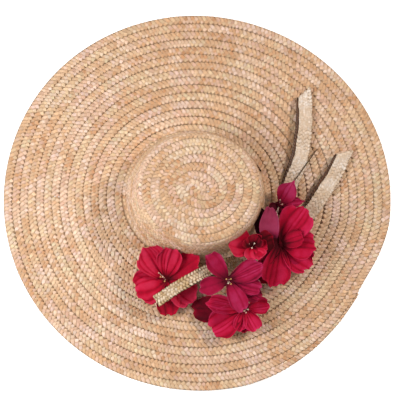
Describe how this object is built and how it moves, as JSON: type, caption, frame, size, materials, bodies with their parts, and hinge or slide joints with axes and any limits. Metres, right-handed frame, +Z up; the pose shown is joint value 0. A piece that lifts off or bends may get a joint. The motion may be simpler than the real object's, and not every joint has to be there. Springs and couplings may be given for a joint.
{
  "type": "straw hat",
  "caption": "Wide-brimmed straw hat with a low oval crown, sewn from plait in overlapping rows, trimmed at one side with crimson fabric flowers and a plait bow.",
  "frame": {"origin": "middle of the brim's outline, at the level that the edge of the brim rests on", "axes": "+Z up through the crown, +X along the head's length across the oval, +Y to the wearer's side; the flowers are on the -Y and +X side"},
  "size_m": [0.516, 0.505, 0.0981],
  "materials": {
    "straw_plait": "natural wheat straw plait, semi-matt with a silky sheen on each splint",
    "ribbon_plait": "paler, fine plait ribbon, semi-matt",
    "crimson_cloth": "pressed cotton sateen petals, matt, lighter at the rims",
    "mauve_cloth": "pressed cotton petal, matt",
    "stem_wire": "thin wire wound with olive thread"
  },
  "bodies": {
    "root": {"crown": "straw_plait", "brim": "straw_plait", "ribbon_loop": "ribbon_plait", "ribbon_tail_back": "ribbon_plait", "ribbon_tail_front": "ribbon_plait", "stem_wire": "stem_wire", "flower_left": "crimson_cloth", "flower_middle": "crimson_cloth", "flower_lower": "crimson_cloth", "flower_cup": "crimson_cloth", "flower_top": "crimson_cloth", "flower_right": "crimson_cloth", "flower_bud": "mauve_cloth"}
  },
  "joints": []
}
